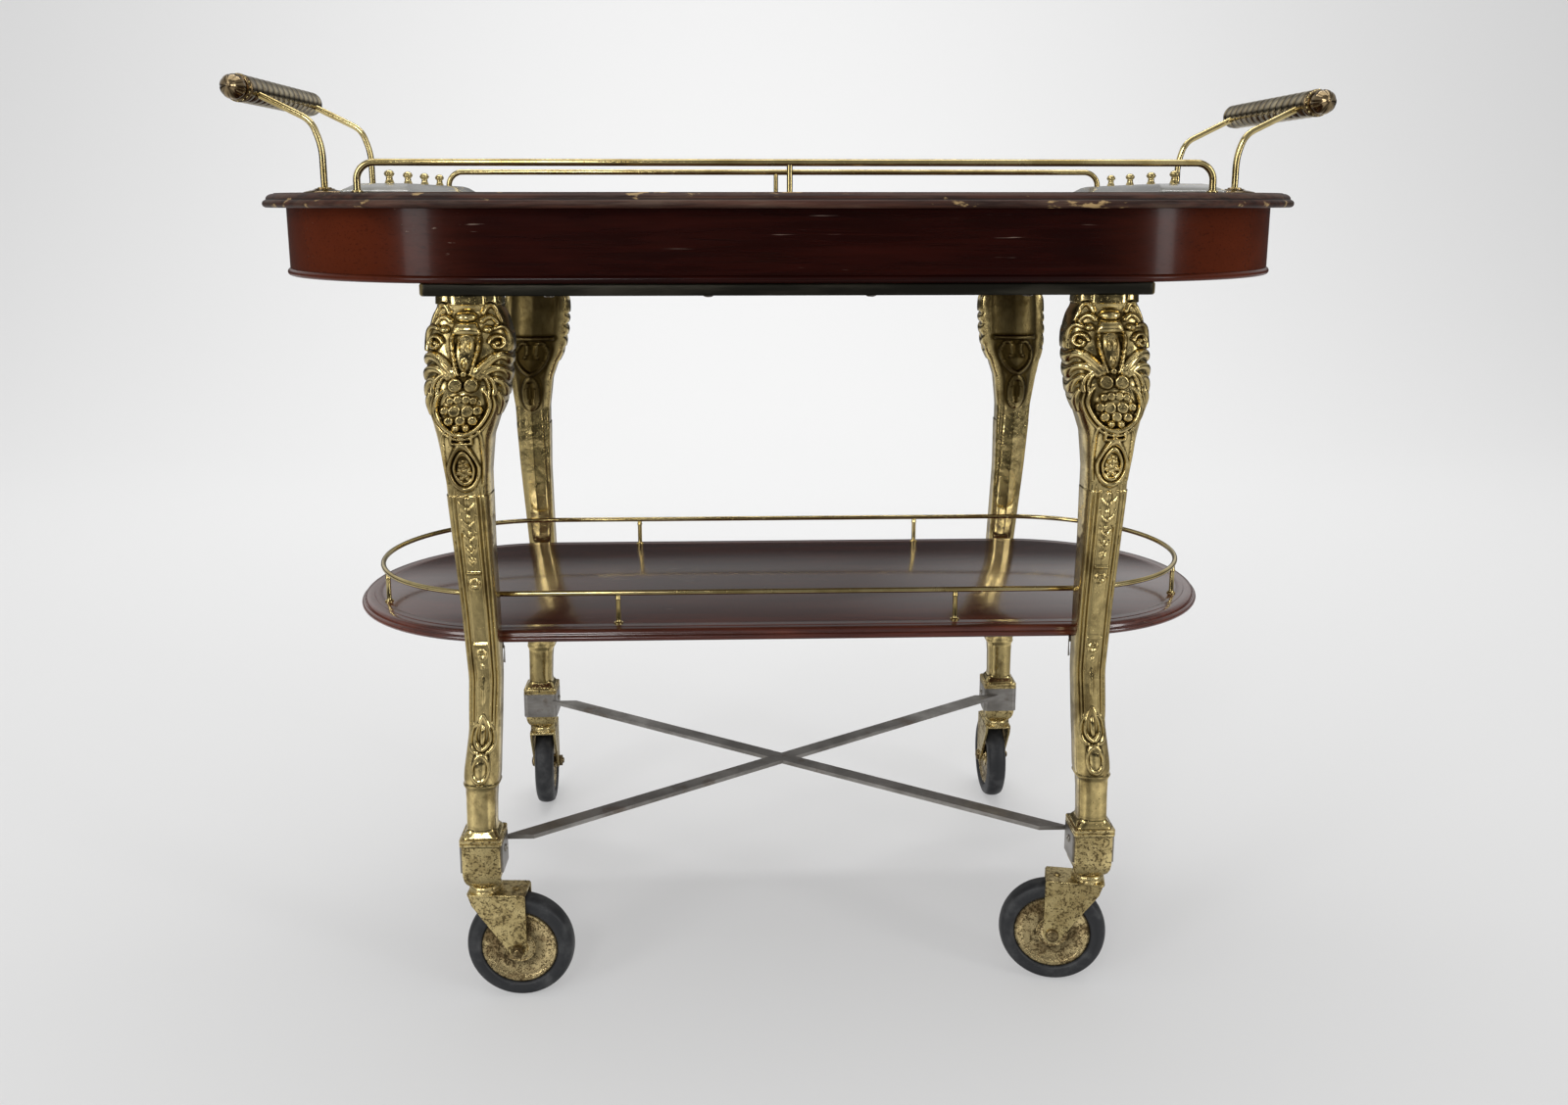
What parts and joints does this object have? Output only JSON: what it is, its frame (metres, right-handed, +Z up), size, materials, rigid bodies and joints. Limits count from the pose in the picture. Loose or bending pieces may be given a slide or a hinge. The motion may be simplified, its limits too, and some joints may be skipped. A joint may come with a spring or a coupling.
{
  "type": "serving trolley",
  "caption": "Oval mahogany serving trolley on cast brass cabriole legs, with a lower shelf, brass rails, spiral-wrapped end handles and swivel casters.",
  "frame": {"origin": "on the floor, under the middle of the whole trolley with its casters as they stand", "axes": "+X towards the right-hand handle, -Y towards the front, +Z up"},
  "size_m": [0.9896, 0.5084, 0.8413],
  "materials": {
    "mahogany": "dark red-brown mahogany under worn gloss lacquer",
    "mahogany_board": "mahogany with a worn moulded edge",
    "mahogany_bead": "dark lacquered mahogany",
    "plain_wood": "plain dull wood",
    "strip": "grey-green, glossy",
    "dark_bar": "dark tarnished brass",
    "cast_brass": "polished cast brass with dark recesses",
    "worn_brass": "pitted, speckled brass",
    "brass": "polished brass",
    "steel": "dull grey steel",
    "bolt_steel": "worn steel",
    "tyre": "black rubber"
  },
  "bodies": {
    "frame": {"apron_back": "mahogany", "apron_bead": "mahogany_bead", "apron_front": "mahogany", "apron_left": "mahogany", "apron_right": "mahogany", "bottom_panel": "plain_wood", "caster_socket_back_left": "worn_brass", "caster_socket_back_right": "worn_brass", "caster_socket_front_left": "worn_brass", "caster_socket_front_right": "worn_brass", "end_strip_left": "strip", "end_strip_right": "strip", "finial_left": "brass", "finial_right": "brass", "gallery_posts": "brass", "gallery_rail_back": "brass", "gallery_rail_front": "brass", "gallery_rail_left": "brass", "gallery_rail_right": "brass", "grip_left": "brass", "grip_right": "brass", "handle_plates": "brass", "handle_rods_left": "brass", "handle_rods_right": "brass", "knobs_left": "brass", "knobs_right": "brass", "leg_back_left": "cast_brass", "leg_back_right": "cast_brass", "leg_front_left": "cast_brass", "leg_front_right": "cast_brass", "lower_shelf": "mahogany_board", "rail_bar_back": "dark_bar", "rail_bar_front": "dark_bar", "screws": "bolt_steel", "shelf_brackets": "steel", "socket_brackets": "steel", "stretcher_bar_a": "steel", "stretcher_bar_b": "steel", "top_board": "mahogany_board", "top_rail_back": "brass", "top_rail_front": "brass", "top_rail_posts": "brass"},
    "caster_front_left": {"caster_fork_front_left": "worn_brass", "caster_axle_front_left": "bolt_steel"},
    "wheel_front_left": {"wheel_hub_front_left": "worn_brass", "wheel_tyre_front_left": "tyre"},
    "caster_front_right": {"caster_fork_front_right": "worn_brass", "caster_axle_front_right": "bolt_steel"},
    "wheel_front_right": {"wheel_hub_front_right": "worn_brass", "wheel_tyre_front_right": "tyre"},
    "caster_back_left": {"caster_fork_back_left": "worn_brass", "caster_axle_back_left": "bolt_steel"},
    "wheel_back_left": {"wheel_hub_back_left": "worn_brass", "wheel_tyre_back_left": "tyre"},
    "caster_back_right": {"caster_fork_back_right": "worn_brass", "caster_axle_back_right": "bolt_steel"},
    "wheel_back_right": {"wheel_hub_back_right": "worn_brass", "wheel_tyre_back_right": "tyre"}
  },
  "joints": [
    {"name": "swivel_front_left", "type": "hinge", "parent": "frame", "child": "caster_front_left", "pos_m": [-0.282, -0.20875, 0.1135], "axis": [0, 0, 1], "continuous": true},
    {"name": "roll_front_left", "type": "hinge", "parent": "caster_front_left", "child": "wheel_front_left", "pos_m": [-0.25104, -0.21037, 0.05], "axis": [0.0523, 0.9986, 0], "continuous": true},
    {"name": "swivel_front_right", "type": "hinge", "parent": "frame", "child": "caster_front_right", "pos_m": [0.282, -0.20875, 0.1135], "axis": [0, 0, 1], "continuous": true},
    {"name": "roll_front_right", "type": "hinge", "parent": "caster_front_right", "child": "wheel_front_right", "pos_m": [0.25168, -0.2023, 0.05], "axis": [-0.2079, -0.9781, 0], "continuous": true},
    {"name": "swivel_back_left", "type": "hinge", "parent": "frame", "child": "caster_back_left", "pos_m": [-0.282, 0.17325, 0.1135], "axis": [0, 0, 1], "continuous": true},
    {"name": "roll_back_left", "type": "hinge", "parent": "caster_back_left", "child": "wheel_back_left", "pos_m": [-0.28362, 0.20421, 0.05], "axis": [-0.9986, -0.0523, 0], "continuous": true},
    {"name": "swivel_back_right", "type": "hinge", "parent": "frame", "child": "caster_back_right", "pos_m": [0.27, 0.17325, 0.1135], "axis": [0, 0, 1], "continuous": true},
    {"name": "roll_back_right", "type": "hinge", "parent": "caster_back_right", "child": "wheel_back_right", "pos_m": [0.27, 0.20425, 0.05], "axis": [-1, 0, 0], "continuous": true}
  ]
}
